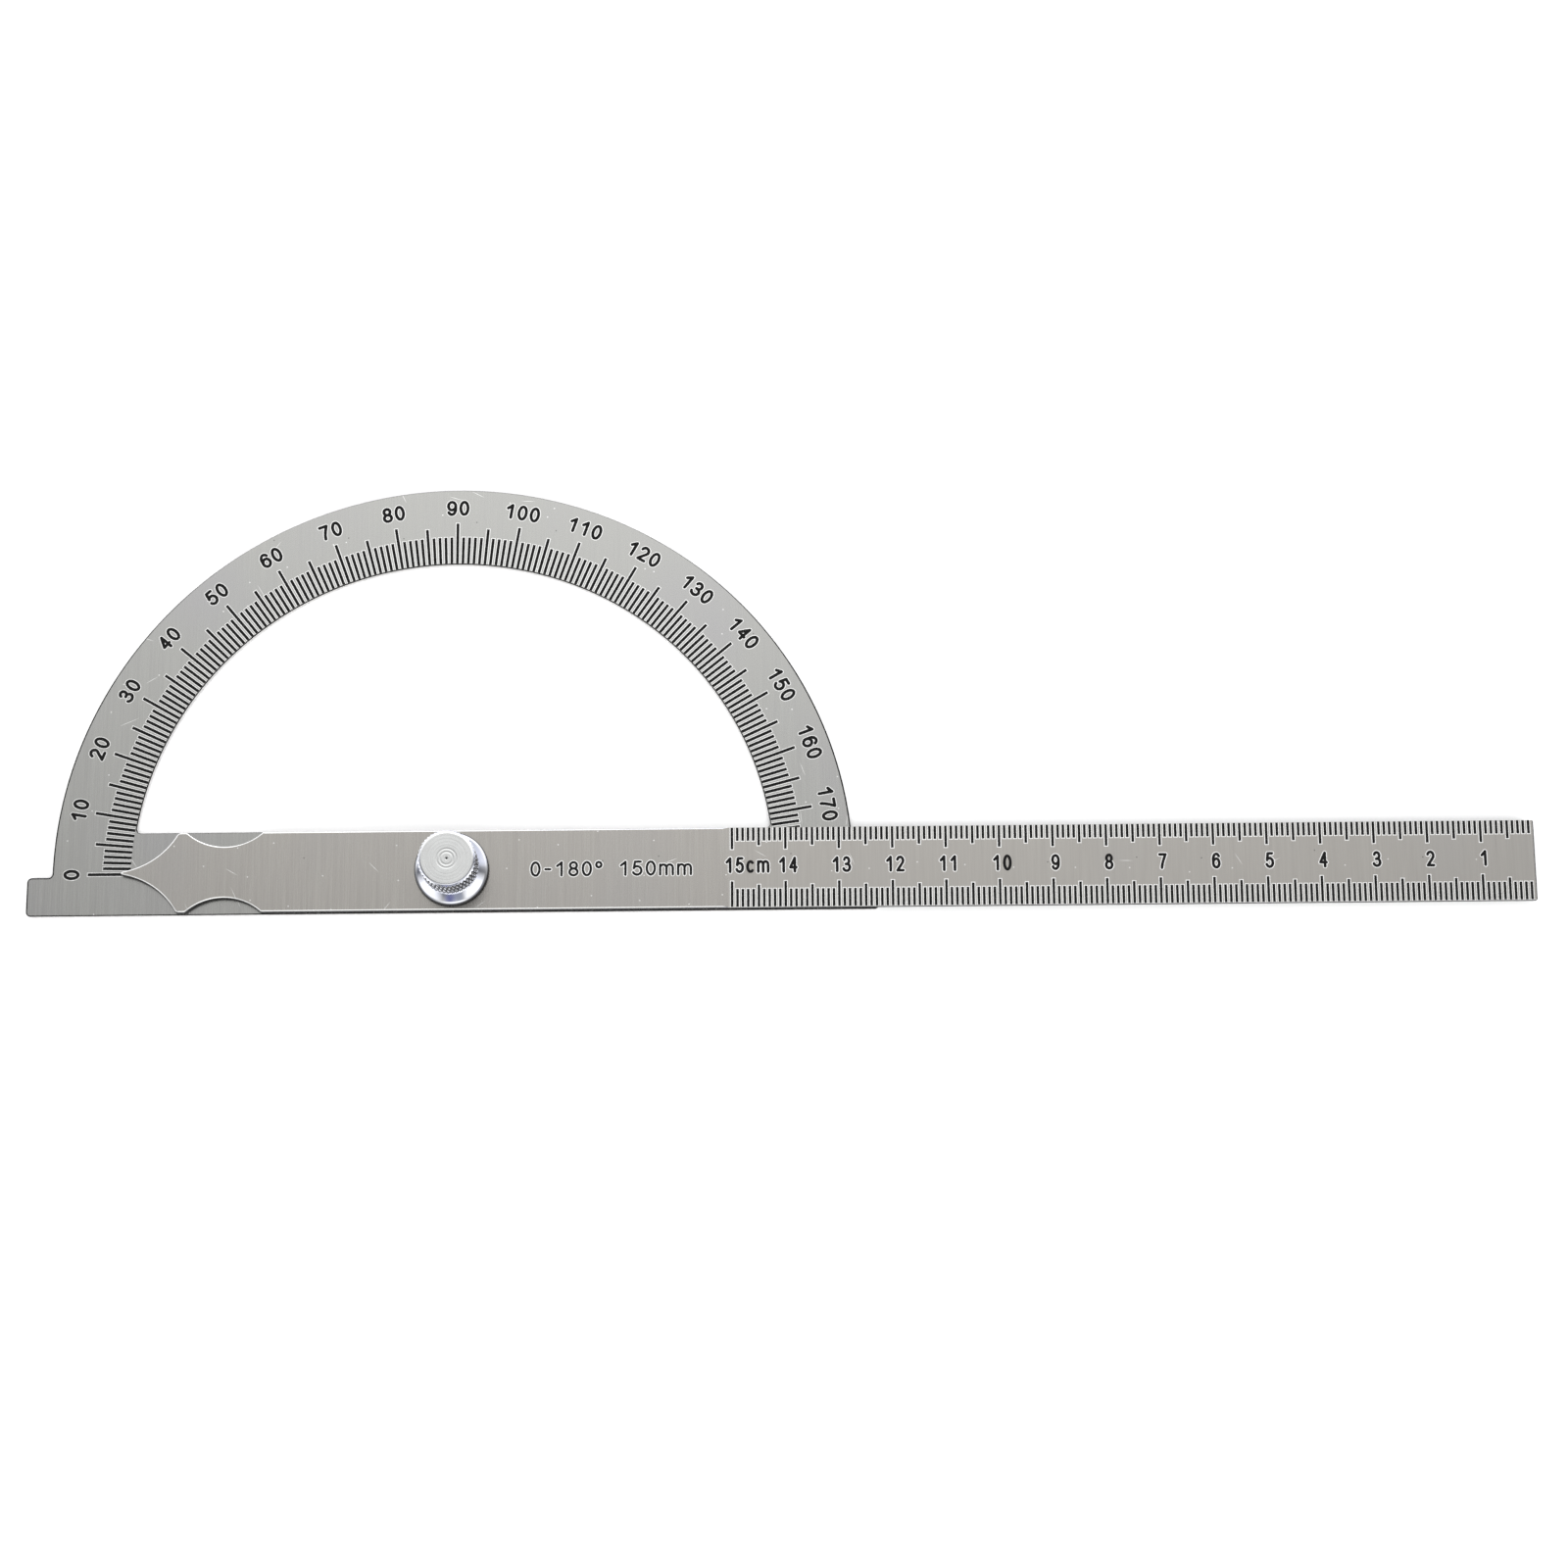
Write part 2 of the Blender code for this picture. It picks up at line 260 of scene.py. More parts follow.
def dial_outline():
    """Rim of the semicircle, both ears and the base bar, clockwise from the left ear."""
    fillet_y = EAR_TOP_Y + EAR_FILLET_R
    fillet_x = -sqrt((DIAL_OUTER_R + EAR_FILLET_R) ** 2 - fillet_y ** 2)
    touch = angle_from((fillet_x, fillet_y), (0.0, 0.0))
    rim_start = angle_from((0.0, 0.0), (fillet_x, fillet_y))
    ear_x = -BASE_HALF_LENGTH + EAR_CORNER_R
    left = arc((ear_x, -BASE_HALF_WIDTH + EAR_CORNER_R), EAR_CORNER_R, 1.5 * pi, pi)
    left += arc((ear_x, EAR_TOP_Y - EAR_CORNER_R), EAR_CORNER_R, pi, 0.5 * pi)
    left += arc((fillet_x, fillet_y), EAR_FILLET_R, -0.5 * pi, touch)
    left += arc((0.0, 0.0), DIAL_OUTER_R, rim_start, 0.5 * pi)[1:]
    return left + mirrored(left)[1:]


def window_outline():
    """The D-shaped opening between the dial and the base bar."""
    centre_y = BASE_HALF_WIDTH + WINDOW_FILLET_R
    centre_x = -sqrt((DIAL_INNER_R - WINDOW_FILLET_R) ** 2 - centre_y ** 2)
    corner = angle_from((0.0, 0.0), (centre_x, centre_y))
    left = arc((centre_x, centre_y), WINDOW_FILLET_R, 1.5 * pi, corner)
    left += arc((0.0, 0.0), DIAL_INNER_R, corner, 0.5 * pi)[1:]
    return left + mirrored(left)[1:]


def arm_outline():
    """The arm's outline: tip, shoulder, scallop, straight edge and square end."""
    tip = arc((TIP_X + TIP_HALF_WIDTH, 0.0), TIP_HALF_WIDTH, pi, 0.5 * pi)
    flank = (TIP_CURVE_X, TIP_CURVE_Y)
    flank_start = angle_from(flank, (TIP_X + TIP_HALF_WIDTH, TIP_HALF_WIDTH))
    shoulder_y = ARM_HALF_WIDTH - SHOULDER_R
    shoulder_x = TIP_CURVE_X + sqrt((TIP_CURVE_R + SHOULDER_R) ** 2 - (TIP_CURVE_Y - shoulder_y) ** 2)
    flank_end = angle_from(flank, (shoulder_x, shoulder_y))
    upper = tip + arc(flank, TIP_CURVE_R, flank_start, flank_end)[1:]
    upper += arc((shoulder_x, shoulder_y), SHOULDER_R, flank_end + pi, 0.5 * pi)[1:]

    scallop_y = ARM_HALF_WIDTH - SCALLOP_DEPTH + SCALLOP_R
    scallop = (SCALLOP_X, scallop_y)
    start_x = SCALLOP_X - sqrt((SCALLOP_R + SHOULDER_R) ** 2 - (scallop_y - shoulder_y) ** 2)
    scallop_start = angle_from(scallop, (start_x, shoulder_y))
    upper += arc((start_x, shoulder_y), SHOULDER_R, 0.5 * pi, scallop_start + pi)
    edge_y = ARM_HALF_WIDTH - SCALLOP_EDGE_R
    end_x = SCALLOP_X + sqrt((SCALLOP_R + SCALLOP_EDGE_R) ** 2 - (scallop_y - edge_y) ** 2)
    scallop_end = angle_from(scallop, (end_x, edge_y))
    upper += arc(scallop, SCALLOP_R, scallop_start, scallop_end)[1:-1]
    upper += arc((end_x, edge_y), SCALLOP_EDGE_R, scallop_end + pi, 0.5 * pi)
    upper += [(SATIN_START_X - 1, ARM_HALF_WIDTH), (SATIN_START_X, ARM_HALF_WIDTH)]

    corner = (ARM_END_X - ARM_END_CORNER_R, ARM_HALF_WIDTH - ARM_END_CORNER_R)
    upper += arc(corner, ARM_END_CORNER_R, 0.5 * pi, 0.0)
    return upper + mirrored(upper[1:], 1, -1)


def winding(loop):
    """1 for a closed outline that runs anticlockwise, -1 for clockwise."""
    pairs = zip(loop, loop[1:] + loop[:1])
    return 1 if sum(a[0] * b[1] - b[0] * a[1] for a, b in pairs) > 0 else -1


def grown(loop, distance):
    """A closed outline moved outwards by a distance, or inwards by a negative one.

    The distance may be a function of the point.
    """
    side = winding(loop)
    normals = []
    for a, b in zip(loop, loop[1:] + loop[:1]):
        length = hypot(b[0] - a[0], b[1] - a[1])
        normals.append((side * (b[1] - a[1]) / length, side * (a[0] - b[0]) / length))
    moved = []
    for i, (x, y) in enumerate(loop):
        before, after = normals[i - 1], normals[i]
        reach = distance((x, y)) if callable(distance) else distance
        share = reach / (1 + before[0] * after[0] + before[1] * after[1])
        moved.append((x + share * (before[0] + after[0]), y + share * (before[1] + after[1])))
    return moved


# ---- lettering

def bow(x, y, rx, ry, start, end, count=14):
    """Points along an ellipse, with angles in degrees."""
    angles = [radians(start + (end - start) * i / count) for i in range(count + 1)]
    return [(x + rx * cos(a), y + ry * sin(a)) for a in angles]


def oval(x, y, rx, ry):
    """A closed ellipse as two strokes that share their ends."""
    return [bow(x, y, rx, ry, -90, 90), bow(x, y, rx, ry, 90, 270)]


def glyph_strokes():
    """Each character's strokes, in a box of one by one."""
    two = bow(0.48, 0.73, 0.48, 0.27, 165, -35)
    three_top = bow(0.46, 0.755, 0.42, 0.245, 160, -90)
    three_low = bow(0.46, 0.265, 0.54, 0.265, 90, -160)
    five = bow(0.46, 0.325, 0.54, 0.325, 140, -155)
    six = bow(0.52, 0.60, 0.52, 0.40, 35, 180) + [(0.0, 0.33)]
    nine = [(1 - x, 1 - y) for x, y in six]
    hump = bow(0.25, 0.52, 0.25, 0.24, 180, 0, 8) + [(0.5, 0.0)]
    return {
        "0": oval(0.5, 0.5, 0.5, 0.5),
        "1": [[(0.68, 0.0), (0.68, 1.0)], [(0.66, 0.98), (0.12, 0.72)]],
        "2": [two, [two[-1], (0.02, 0.0)], [(0.02, 0.0), (1.0, 0.0)]],
        "3": [three_top, three_low, [(0.34, 0.51), (0.46, 0.51)]],
        "4": [[(0.75, 0.0), (0.75, 1.0)], [(0.75, 1.0), (0.0, 0.3)], [(0.0, 0.3), (1.0, 0.3)]],
        "5": [[(0.9, 1.0), (0.2, 1.0)], [(0.2, 1.0), (0.06, 0.5)], [(0.06, 0.5), five[0]], five],
        "6": [six] + oval(0.5, 0.32, 0.5, 0.32),
        "7": [[(0.0, 1.0), (1.0, 1.0)], [(1.0, 1.0), (0.62, 0.55), (0.45, 0.28), (0.36, 0.0)]],
        "8": oval(0.5, 0.76, 0.42, 0.24) + oval(0.5, 0.26, 0.5, 0.26),
        "9": [nine] + oval(0.5, 0.68, 0.5, 0.32),
        "c": [bow(0.5, 0.38, 0.5, 0.38, 48, 312)],
        "m": [[(0.0, 0.0), (0.0, 0.76)], hump, [(x + 0.5, y) for x, y in hump]],
        "-": [[(0.1, 0.48), (0.9, 0.48)]],
        "\u00b0": oval(0.5, 0.8, 0.5, 0.2),
        " ": [],
    }


GLYPHS = glyph_strokes()
GLYPH_WIDTHS = {"m": 1.45, "-": 0.8, "\u00b0": 0.72}  # beside a digit's


def ribbon(path, width, cap_steps=6):
    """Outline of a stroke along a path, with round ends."""
    half = width / 2
    headings = [angle_from(a, b) for a, b in zip(path, path[1:])]
    left, right = [], []
    for i in range(1, len(path) - 1):
        turn = (headings[i] - headings[i - 1] + pi) % (2 * pi) - pi
        across = headings[i - 1] + turn / 2 + pi / 2
        reach = half / cos(turn / 2)
        left.append(polar(reach, across, *path[i]))
        right.append(polar(-reach, across, *path[i]))

    def cap(point, heading):
        angles = [heading + pi / 2 - pi * i / cap_steps for i in range(cap_steps + 1)]
        return [polar(half, angle, *point) for angle in angles]

    return left + cap(path[-1], headings[-1]) + right[::-1] + cap(path[0], headings[0] + pi)


def lettering(text, centre, turn, height, width, stroke, gap, lip=0.0, centred=None):
    """Outlines of a line of characters, turned by an angle in radians, wider by a lip.

    The first few, or all if no number of them is given, are centred on the centre.
    """
    widths = [width * GLYPH_WIDTHS.get(character, 1.0) for character in text]
    middle = widths[:centred]
    left = -(sum(middle) + gap * (len(middle) - 1)) / 2
    outlines = []
    for character, own_width in zip(text, widths):
        for path in GLYPHS[character]:
            placed = []
            for x, y in path:
                across = left + stroke / 2 + x * (own_width - stroke)
                up = (y - 0.5) * (height - stroke)
                placed.append((centre[0] + across * cos(turn) - up * sin(turn),
                               centre[1] + across * sin(turn) + up * cos(turn)))
            outlines.append(ribbon(placed, stroke + 2 * lip))
        left += own_width + gap
    return outlines


def bar(start, end, width):
    """Corners of a straight line of a given width."""
    heading = angle_from(start, end)
    x, y = -sin(heading) * width / 2, cos(heading) * width / 2
    return [(start[0] + x, start[1] + y), (start[0] - x, start[1] - y),
            (end[0] - x, end[1] - y), (end[0] + x, end[1] + y)]


def length_of(ticks, number):
    """The longest tick whose step divides the number."""
    return max(length for step, length in ticks.items() if number % step == 0)


def dial_marks(lip=0.0):
    """Degree lines from the dial's inner edge outwards and a numeral every ten, wider by a lip."""
    outlines = []
    for degree in range(181):
        angle = pi - radians(degree)
        inner = DIAL_INNER_R + EDGE_BREAK + (2 * MARK_GAP if lip else MARK_GAP)
        outer = DIAL_INNER_R + length_of(DIAL_TICKS, degree) + lip
        outlines.append(bar(polar(inner, angle), polar(outer, angle), DIAL_LINE + 2 * lip))
        if degree % 10 == 0:
            centre = polar(DIAL_NUMERAL_R, angle)
            outlines += lettering(str(degree), centre, angle - pi / 2, **DIAL_NUMERAL, lip=lip)
    return outlines


def ruler_marks(lip=0.0):
    """Millimetre lines on both edges, numerals and the measuring range, wider by a lip."""
    outlines = []
    edge = ARM_HALF_WIDTH - RULER_BREAK - MARK_GAP
    for number in range(1, RULER_LENGTH + 1):
        x = ARM_END_X - number
        top = ARM_HALF_WIDTH - length_of(UPPER_TICKS, number) - lip
        low = -ARM_HALF_WIDTH + length_of(LOWER_TICKS, number) + lip
        outlines.append(bar((x, edge), (x, top), RULER_LINE + 2 * lip))
        outlines.append(bar((x, -edge), (x, low), RULER_LINE + 2 * lip))
        if number % 10 == 0:
            centre = (x + RULER_NUMERAL_RIGHT, RULER_NUMERAL_Y)
            digits = str(number // 10)
            unit = "cm" if number == RULER_LENGTH else ""
            outlines += lettering(digits + unit, centre, 0.0, **RULER_NUMERAL, lip=lip,
                                  centred=len(digits))
    return outlines + lettering("0-180\u00b0 150mm", (RANGE_CENTRE_X, 0.0), 0.0, **RANGE_TEXT, lip=lip)


# ---- meshes

def added(name, data):
    """An object in the scene that holds the data."""
    holder = bpy.data.objects.new(name, data)
    bpy.context.scene.collection.objects.link(holder)
    return holder


def finished(name, bm, materials, sharp_angle=30):
    """A mesh object from a bmesh, shaded smooth between its real corners.

    The border of a level face is always a corner.
    """
    bmesh.ops.recalc_face_normals(bm, faces=bm.faces)
    for edge in bm.edges:
        levels = {abs(face.normal.z) > LEVEL_NORMAL for face in edge.link_faces}
        edge.smooth = edge.calc_face_angle(0.0) < radians(sharp_angle) and len(levels) == 1
    for face in bm.faces:
        face.smooth = True
    mesh = bpy.data.meshes.new(name)
    bm.to_mesh(mesh)
    bm.free()
    for material in materials:
        mesh.materials.append(material)
    return added(name, mesh)


class Layers:
    """Flat faces and upright walls of a bmesh, sharing one vertex for each point and level."""

    def __init__(self, bm):
        self.bm = bm
        self.made = {}

    def vertex(self, key, point, level):
        """The vertex of a key at a level, made when first asked for."""
        if (key, level) not in self.made:
            place = (point[0] * MM, point[1] * MM, level * MM)
            self.made[key, level] = self.bm.verts.new(place)
        return self.made[key, level]

    def flat(self, triangles, points, level, side, material=FACE):
        """Level triangles, from numbers of points."""
        for triangle in triangles:
            face = self.bm.faces.new([self.vertex((side, i), points[i], level) for i in triangle])
            face.material_index = material

    def walls(self, edges, points, upper, lower, side):
        """Upright faces between two levels, from pairs of numbers of points."""
        for a, b in edges:
            corners = [(a, upper), (b, upper), (b, lower), (a, lower)]
            self.bm.faces.new([self.vertex((side, i), points[i], level) for i, level in corners])


def triangulated(rims, marks, lips):
    """Splits the face between an outline and its holes into plain, lip and marked triangles.

    Returns the points, the three lists of triangles, the edges round the marked ones, and for
    each rim the points that it became. Ownership needs outlines that run anticlockwise.
    """
    corners, faces, turned_faces = [], [], []
    for loop in [*rims, *marks, *lips]:
        faces.append(list(range(len(corners), len(corners) + len(loop))))
        turned_faces.append(faces[-1][::winding(loop)])
        corners += loop
    points, _, triangles, origins, _, inside = delaunay_2d_cdt(corners, [], turned_faces, 1, 1e-6)
    became = {source: index for index, sources in enumerate(origins) for source in sources}
    first_mark, first_lip = len(rims), len(rims) + len(marks)
    plain, lipped, marked, edge_kinds = [], [], [], {}
    for triangle, owners in zip(triangles, inside):
        if 0 not in owners or any(0 < owner < first_mark for owner in owners):
            continue
        in_mark = any(first_mark <= owner < first_lip for owner in owners)
        unmarked = lipped if max(owners) >= first_lip else plain
        (marked if in_mark else unmarked).append(triangle)
        for a, b in zip(triangle, triangle[1:] + triangle[:1]):
            edge_kinds.setdefault((min(a, b), max(a, b)), []).append(in_mark)
    borders = [edge for edge, kinds in edge_kinds.items() if sorted(kinds) == [False, True]]
    rims_became = [[became[corner] for corner in face] for face in faces[:first_mark]]
    return points, plain, lipped, marked, borders, rims_became


def straight_edge(loop, outwards, low, high, width=None):
    """Rings down a sheet's edge, with both corners broken by a small chamfer.

    The upper one's width may be given as a function of the point.
    """
    lower = grown(loop, -outwards * EDGE_BREAK)
    upper = grown(loop, lambda point: -outwards * width(point)) if width else lower
    return [(upper, high), (loop, high - EDGE_BREAK), (loop, low + EDGE_BREAK), (lower, low)]


def rim_break(point):
    """Width of the plate's upper chamfer: wide at its ends and the dial's sides, slight on top."""
    x, y = point
    dial = between(SLIGHT_BREAK, WIDE_BREAK, (abs(x) / DIAL_OUTER_R - 0.55) / 0.35)
    return between(EDGE_BREAK, dial, (y + BASE_HALF_WIDTH) / EAR_CORNER_R)


def window_break(point):
    """Width of the window's upper chamfer, slight along the base bar."""
    return between(SLIGHT_BREAK, EDGE_BREAK, (point[1] - BASE_HALF_WIDTH) / WINDOW_FILLET_R)


def sheet(name, edges, marks, lips, materials):
    """A flat sheet with etched marks, from the rings down its outline and its holes.

    The materials are the faces', the sides', the top chamfers' and the lips'. The ink that
    fills the marks is returned as a bmesh of its own.
    """
    low, high = edges[0][-1][1], edges[0][0][1]
    bm = bmesh.new()
    layers = Layers(bm)
    tops = [edge[0][0] for edge in edges]
    points, plain, lipped, marked, borders, top_rims = triangulated(tops, marks, lips)
    layers.flat(plain, points, high, "top")
    layers.flat(lipped, points, high, "top", LIP)
    layers.flat(marked, points, high - ETCH_DEPTH, "top")
    layers.walls(borders, points, high, high - ETCH_DEPTH, "top")
    bottoms = [edge[-1][0] for edge in edges]
    low_points, low_plain, _, _, _, low_rims = triangulated(bottoms, [], [])
    layers.flat(low_plain, low_points, low, "low")
    for place, edge in enumerate(edges):
        rings = [[layers.vertex(("top", i), points[i], high) for i in top_rims[place]]]
        for depth, (loop, level) in enumerate(edge[1:-1]):
            rings.append([layers.vertex((place, depth, i), point, level)
                          for i, point in enumerate(loop)])
        rings.append([layers.vertex(("low", i), low_points[i], low) for i in low_rims[place]])
        for depth, (upper, lower) in enumerate(zip(rings, rings[1:])):
            for face in join_rings(bm, upper, lower):
                face.material_index = CHAMFER if depth == 0 else SIDE
    ink = bmesh.new()
    ink_layers = Layers(ink)
    ink_top, ink_low = high - INK_BELOW, high - ETCH_DEPTH + INK_GAP
    for level in (ink_top, ink_low):
        ink_layers.flat(marked, points, level, "ink")
    ink_layers.walls(borders, points, ink_top, ink_low, "ink")
    return finished(name, bm, materials), ink


def ring(bm, columns, radius, height, level=0.0):
    """A ring round Z, or one point on it. The radius may be a function of angle and height."""
    made = []
    for i in range(columns):
        angle = 2 * pi * i / columns
        x, y = polar(radius(angle, height) if callable(radius) else radius, angle)
        made.append(bm.verts.new((x * MM, y * MM, (height + level) * MM)))
    return made


def join_rings(bm, one, other, faceted=False):
    """Faces between two rings, where the longer's count is a multiple of the shorter's.

    Faceted ones are split along the diagonal that lies deeper, which is where grooves run.
    """
    wide, narrow = (one, other) if len(one) >= len(other) else (other, one)
    count, few = len(wide), len(narrow)
    ratio = count // few
    made = []
    for i in range(count):
        a, b = wide[i], wide[(i + 1) % count]
        c, d = narrow[(i // ratio + 1) % few], narrow[i // ratio]
        faces = [(a, b, d), (b, c, d)]
        if ratio > 1 and (few == 1 or (i + 1) % ratio):
            faces = faces[:1]
        elif ratio == 1 and not faceted:
            faces = [(a, b, c, d)]
        elif ratio == 1 and a.co.xy.length + c.co.xy.length <= b.co.xy.length + d.co.xy.length:
            faces = [(a, b, c), (a, c, d)]
        made += [bm.faces.new(face) for face in faces]
    return made


def join_all(bm, rings, faceted=False):
    """Faces between each ring and the next."""
    return [face for upper, lower in zip(rings, rings[1:])
            for face in join_rings(bm, upper, lower, faceted)]


def thread_height(angle, height):
    """Share of full depth, from 0 in the root to 1 on the crest of a right-handed thread."""
    turn = height / THREAD_PITCH - angle / (2 * pi)
    away = 2 * abs(turn - floor(turn) - 0.5)
    return between(0.0, 1.0, (1 - THREAD_ROOT - away) / (1 - THREAD_ROOT - THREAD_CREST))


# ---- pieces

def make_plate(materials, ink_material):
    """The dial and base bar, etched, with the stud's counterbore underneath."""
    hole = circle(JOURNAL_R + RUNNING_CLEARANCE, THREAD_COLUMNS)
    seat = circle(COUNTERBORE_R, THREAD_COLUMNS)
    stud_hole = [
        (grown(hole, EDGE_BREAK), PLATE_HIGH), (hole, PLATE_HIGH - EDGE_BREAK),
        (hole, PLATE_LOW + COUNTERBORE_DEPTH), (seat, PLATE_LOW + COUNTERBORE_DEPTH),
        (seat, PLATE_LOW + EDGE_BREAK), (grown(seat, EDGE_BREAK), PLATE_LOW),
    ]
    edges = [
        straight_edge(dial_outline(), 1, PLATE_LOW, PLATE_HIGH, rim_break),
        straight_edge(window_outline(), -1, PLATE_LOW, PLATE_HIGH, window_break),
        stud_hole,
    ]
    plate, ink = sheet("plate_sheet", edges, dial_marks(), dial_marks(DIAL_LIP), materials)
    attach(plate, "base")
    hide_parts("protractor_plate")
    marks = finished("dial_scale_ink", ink, [ink_material])
    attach(marks, "base")


def make_arm(materials, ink_material):
    """The pointed ruler arm, etched, with its bearing hole on the pivot."""
    hole = circle(JOURNAL_R + RUNNING_CLEARANCE, THREAD_COLUMNS)
    outline = arm_outline()

    def bevel(point):
        if point[0] < SATIN_START_X:
            return -BEVEL_WIDTH
        end_share = 1 - (ARM_END_X - point[0]) / ARM_END_CORNER_R
        return -between(RULER_BREAK, END_BREAK, end_share)

    def corner(point):
        return -CORNER_WIDTH if point[0] < SATIN_START_X else bevel(point) + RULER_BREAK / 2

    edges = [
        [(grown(outline, bevel), ARM_HIGH),
         (grown(outline, corner), ARM_HIGH - BEVEL_DEPTH),
         (outline, ARM_HIGH - BEVEL_DEPTH - CORNER_DEPTH),
         (outline, ARM_LOW + EDGE_BREAK),
         (grown(outline, -EDGE_BREAK), ARM_LOW)],
        straight_edge(hole, -1, ARM_LOW, ARM_HIGH),
    ]
    arm, ink = sheet("arm_sheet", edges, ruler_marks(), ruler_marks(RULER_LIP), materials)
    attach(arm, "arm")
    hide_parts("ruler_arm")
    marks = finished("ruler_scale_ink", ink, [ink_material])
    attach(marks, "arm")


def make_stud(material):
    """Flush head with a centre mark, plain journal and the threaded end."""
    chamfer_low = STUD_TOP - STUD_END_CHAMFER

    def thread(angle, height):
        full = THREAD_R - THREAD_DEPTH * (1 - thread_height(angle, height))
        return min(full, THREAD_R - max(0.0, height - chamfer_low))

    bm = bmesh.new()
    rows = ceil((STUD_TOP - THREAD_START) / THREAD_PITCH * THREAD_ROWS)
    rings = [ring(bm, 1, 0.0, STUD_TOP)]
    for row in range(rows + 1):
        height = STUD_TOP - (STUD_TOP - THREAD_START) * row / rows
        rings.append(ring(bm, THREAD_COLUMNS, thread, height))
    neck_r = THREAD_R - THREAD_DEPTH
    for radius, height in [
        (neck_r, THREAD_START - THREAD_RUNOUT), (neck_r, SHOULDER_Z),
        (JOURNAL_R - JOURNAL_EASE, SHOULDER_Z), (JOURNAL_R, SHOULDER_Z - JOURNAL_EASE),
        (JOURNAL_R, STUD_HEAD_DEPTH), (STUD_HEAD_R - HEAD_TOP_EASE, STUD_HEAD_DEPTH),
        (STUD_HEAD_R, STUD_HEAD_DEPTH - HEAD_TOP_EASE), (STUD_HEAD_R, HEAD_LOW_EASE),
        (STUD_HEAD_R - HEAD_LOW_EASE, 0.0), (DIMPLE_R, 0.0),
    ]:
        rings.append(ring(bm, THREAD_COLUMNS, radius, height))
    rings.append(ring(bm, 1, 0.0, DIMPLE_DEPTH))
    join_all(bm, rings)
    stud = finished("stud_turned", bm, [material])
    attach(stud, "base")
    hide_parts("pivot_stud")


def make_washer(material):
    """A flat washer with lightly broken edges."""
    inner = SPIGOT_R + RUNNING_CLEARANCE
    corner = 0.06
    bm = bmesh.new()
    rings = [ring(bm, 2 * THREAD_COLUMNS, radius, height) for radius, height in [
        (WASHER_R - corner, WASHER_HIGH), (WASHER_R, WASHER_HIGH - corner),
        (WASHER_R, WASHER_LOW + corner), (WASHER_R - corner, WASHER_LOW),
        (inner + corner, WASHER_LOW), (inner, WASHER_LOW + corner),
        (inner, WASHER_HIGH - corner), (inner + corner, WASHER_HIGH),
    ]]
    join_all(bm, rings + rings[:1])
    washer = finished("washer_ring", bm, [material])
    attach(washer, "washer")
    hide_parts("lock_washer")


def knurl_radius(angle, height):
    """Radius of the diamond knurl, cut by two sets of steep V grooves, and of its top chamfer."""
    around = angle * KNURL_TEETH / (2 * pi)
    along = (height - KNURL_START) / DIAMOND_HEIGHT
    crest = 1.0
    for turn in (around + along, around - along):
        crest = min(crest, 1 - 2 * abs(turn - floor(turn) - 0.5))
    cone = KNURL_R - max(0.0, height - (KNOB_HEIGHT - KNOB_TOP_CHAMFER))
    return min(cone, KNURL_R - KNURL_DEPTH * (1 - min(crest, KNURL_FLAT) / KNURL_FLAT))


def turned_top():
    """(radius, height) across the knob's top, from the centre out: pip and turning rings."""
    rings_from = PIP_R + PIP_BREAK
    rows = [(PIP_R, KNOB_HEIGHT - PIP_BREAK_DEPTH), (rings_from, KNOB_HEIGHT)]
    step = TURNING_PITCH / TURNING_STEPS
    edge = KNURL_R - KNOB_TOP_CHAMFER + TOP_BEVEL_DEPTH - TOP_BEVEL
    radius = rings_from + step
    while radius < edge - step:
        depth = BOLD_DEPTH if BOLD_RINGS[0] < radius < BOLD_RINGS[1] else FAINT_DEPTH
        ripple = 0.5 - 0.5 * cos(2 * pi * (radius - rings_from) / TURNING_PITCH)
        rows.append((radius, KNOB_HEIGHT - depth * ripple))
        radius += step
    return rows + [(edge, KNOB_HEIGHT)]


def flange_profile():
    """(radius, height) from the knurl's foot down the neck and the cone to the rim's top."""
    rows = [(FLANGE_R - RIM_ROUND, FLANGE_RIM)]
    step = (FLANGE_R - RIM_ROUND - CONE_END_R) / len(FLARE_SLOPES)
    for slope in reversed(FLARE_SLOPES):
        radius, height = rows[-1]
        rows.append((radius - step, height + step * tan(radians(slope))))
    foot = rows[-1][1] + (CONE_END_R - CONE_FOOT_R) * tan(radians(CONE_SLOPE))
    rows.append((CONE_FOOT_R, foot))
    rows += [(NECK_R + out, foot + up) for out, up in NECK_FILLET]
    rows.append((NECK_R, KNURL_START - KNURL_RUNOUT))
    return rows[::-1]


def knob_ring(bm, radius, height, columns=KNOB_COLUMNS):
    """A ring of vertices at a height above the knob's clamping face."""
    return ring(bm, columns, radius, height, KNOB_FOOT)


def knurl_rings(bm):
    """Rings down the knurl, from the polished bevel under the top."""
    chamfer_low = KNOB_HEIGHT - KNOB_TOP_CHAMFER
    bevel_low = KNOB_HEIGHT - TOP_BEVEL_DEPTH
    rings = [knob_ring(bm, KNURL_R - KNOB_TOP_CHAMFER + TOP_BEVEL_DEPTH, bevel_low)]
    height = bevel_low - CHAMFER_STEP / 2
    while height > chamfer_low:
        rings.append(knob_ring(bm, knurl_radius, height))
        height -= CHAMFER_STEP
    row = DIAMOND_HEIGHT / KNURL_ROWS
    height = KNURL_START + row * floor((chamfer_low - KNURL_START) / row)
    while height > KNURL_START:
        rings.append(knob_ring(bm, knurl_radius, height))
        height -= row
    return rings


